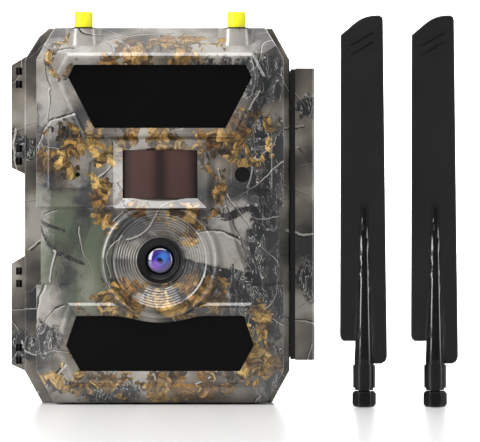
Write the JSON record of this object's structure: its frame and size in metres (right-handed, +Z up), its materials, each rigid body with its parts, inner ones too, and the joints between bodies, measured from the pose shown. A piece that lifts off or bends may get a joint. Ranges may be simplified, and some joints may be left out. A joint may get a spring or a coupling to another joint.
{
  "type": "trail camera",
  "caption": "Camouflaged cellular trail camera: hinged clamshell with latch, lens, motion window, lamp panes, inner controls, battery bay, strap bracket and loose antennas.",
  "frame": {"origin": "mouth of the tripod thread in the base, on the plane of the lens axis", "axes": "+X to the right seen from the front, +Y from the lens towards the back, +Z up"},
  "size_m": [0.1664, 0.1059, 0.1471],
  "materials": {
    "camo_shell": "printed camouflage film under clear lacquer",
    "shell_inside": "moulded black",
    "dark_pane": "infrared-passing black acrylic",
    "pir_lens": "dark brown moulded lens",
    "sensor_window": "clear black",
    "barrel": "fine ridged black",
    "lens": "blue coated glass",
    "board": "green circuit board",
    "led": "circuit board with dark lamps",
    "sensor_can": "pressed can",
    "panel": "moulded black",
    "screen": "display glass",
    "button": "silicone",
    "card": "moulded",
    "steel": "zinc plated",
    "brass": "machined",
    "washer": "black oxide",
    "cap": "bright yellow vinyl",
    "seal": "silicone",
    "cell_wrap": "wrapped steel can",
    "contact": "nickel plated",
    "jack": "moulded",
    "plug": "moulded",
    "bracket": "moulded, dark grey",
    "latch_trim": "moulded black",
    "antenna": "textured black",
    "antenna_nut": "polished black"
  },
  "bodies": {
    "housing": {"rear_housing": "camo_shell", "battery_liner": "shell_inside", "cell_1": "cell_wrap", "cell_2": "cell_wrap", "cell_3": "cell_wrap", "cell_4": "cell_wrap", "cell_5": "cell_wrap", "cell_6": "cell_wrap", "cell_7": "cell_wrap", "cell_8": "cell_wrap", "spring_strip_lower": "contact", "spring_strip_upper": "contact", "centre_contact": "contact", "tripod_insert": "brass", "power_jack": "jack", "strap_bracket": "bracket", "hinge_pin_lower": "steel", "hinge_pin_upper": "steel", "latch_pin": "steel"},
    "cover": {"front_cover": "camo_shell", "upper_pane": "dark_pane", "lower_pane": "dark_pane", "upper_led_board": "led", "lower_led_board": "led", "pir_window": "pir_lens", "pir_sensor": "sensor_can", "light_window": "sensor_window", "lens_barrel": "barrel", "lens_glass": "lens", "camera_module": "board", "main_board": "board", "inner_panel": "panel", "display": "screen", "panel_screw_1": "steel", "panel_screw_2": "steel", "panel_screw_3": "steel", "panel_screw_4": "steel", "antenna_port_left": "brass", "antenna_port_right": "brass", "port_washer_left": "washer", "port_washer_right": "washer", "gasket": "seal"},
    "latch": {"latch_lever": "camo_shell", "latch_hook": "latch_trim"},
    "door": {"battery_door": "shell_inside"},
    "plug": {"power_plug": "plug"},
    "cap_left": {"dust_cap_left": "cap"},
    "cap_right": {"dust_cap_right": "cap"},
    "card": {"sd_card": "card"},
    "switch": {"power_switch": "button"},
    "menu_button": {"menu_button": "button"},
    "up_button": {"up_button": "button"},
    "down_button": {"down_button": "button"},
    "left_button": {"left_button": "button"},
    "right_button": {"right_button": "button"},
    "ok_button": {"ok_button": "button"},
    "antenna_a": {"antenna_left": "antenna"},
    "antenna_b": {"antenna_right": "antenna"},
    "nut_a": {"antenna_nut_left": "antenna_nut"},
    "nut_b": {"antenna_nut_right": "antenna_nut"}
  },
  "joints": [
    {"name": "cover_hinge", "type": "hinge", "parent": "housing", "child": "cover", "pos_m": [-0.0535, -0.014, 0.0707], "axis": [0, 0, -1], "range_deg": [0, 120]},
    {"name": "latch_swing", "type": "hinge", "parent": "housing", "child": "latch", "pos_m": [0.0534, 0.005, 0.071], "axis": [0, 0, 1], "range_deg": [0, 95]},
    {"name": "door_slide", "type": "slide", "parent": "housing", "child": "door", "axis": [0, 0, 1], "range_m": [0, 0.004]},
    {"name": "plug_pull", "type": "slide", "parent": "housing", "child": "plug", "axis": [0, 0, -1], "range_m": [0, 0.009]},
    {"name": "cap_left_pull", "type": "slide", "parent": "cover", "child": "cap_left", "axis": [0, 0, 1], "range_m": [0, 0.014]},
    {"name": "cap_right_pull", "type": "slide", "parent": "cover", "child": "cap_right", "axis": [0, 0, 1], "range_m": [0, 0.014]},
    {"name": "card_push", "type": "slide", "parent": "cover", "child": "card", "axis": [1, 0, 0], "range_m": [0, 0.0035]},
    {"name": "switch_slide", "type": "slide", "parent": "cover", "child": "switch", "axis": [1, 0, 0], "range_m": [-0.0025, 0.0025]},
    {"name": "menu_button_press", "type": "slide", "parent": "cover", "child": "menu_button", "axis": [0, -1, 0], "range_m": [0, 0.0008], "stiffness_N_per_m": 1000, "springref_m": -0.0005},
    {"name": "up_button_press", "type": "slide", "parent": "cover", "child": "up_button", "axis": [0, -1, 0], "range_m": [0, 0.0008], "stiffness_N_per_m": 1000, "springref_m": -0.0005},
    {"name": "down_button_press", "type": "slide", "parent": "cover", "child": "down_button", "axis": [0, -1, 0], "range_m": [0, 0.0008], "stiffness_N_per_m": 1000, "springref_m": -0.0005},
    {"name": "left_button_press", "type": "slide", "parent": "cover", "child": "left_button", "axis": [0, -1, 0], "range_m": [0, 0.0008], "stiffness_N_per_m": 1000, "springref_m": -0.0005},
    {"name": "right_button_press", "type": "slide", "parent": "cover", "child": "right_button", "axis": [0, -1, 0], "range_m": [0, 0.0008], "stiffness_N_per_m": 1000, "springref_m": -0.0005},
    {"name": "ok_button_press", "type": "slide", "parent": "cover", "child": "ok_button", "axis": [0, -1, 0], "range_m": [0, 0.0008], "stiffness_N_per_m": 1000, "springref_m": -0.0005},
    {"name": "antenna_a_lift", "type": "slide", "parent": "housing", "child": "antenna_a", "axis": [0, 0, 1], "range_m": [0, 0.15]},
    {"name": "nut_a_spin", "type": "hinge", "parent": "antenna_a", "child": "nut_a", "pos_m": [0.0756, -0.07, 0.003], "axis": [0, 0, 1], "continuous": true},
    {"name": "antenna_b_lift", "type": "slide", "parent": "housing", "child": "antenna_b", "axis": [0, 0, 1], "range_m": [0, 0.15]},
    {"name": "nut_b_spin", "type": "hinge", "parent": "antenna_b", "child": "nut_b", "pos_m": [0.1019, -0.07, 0.003], "axis": [0, 0, 1], "continuous": true}
  ]
}
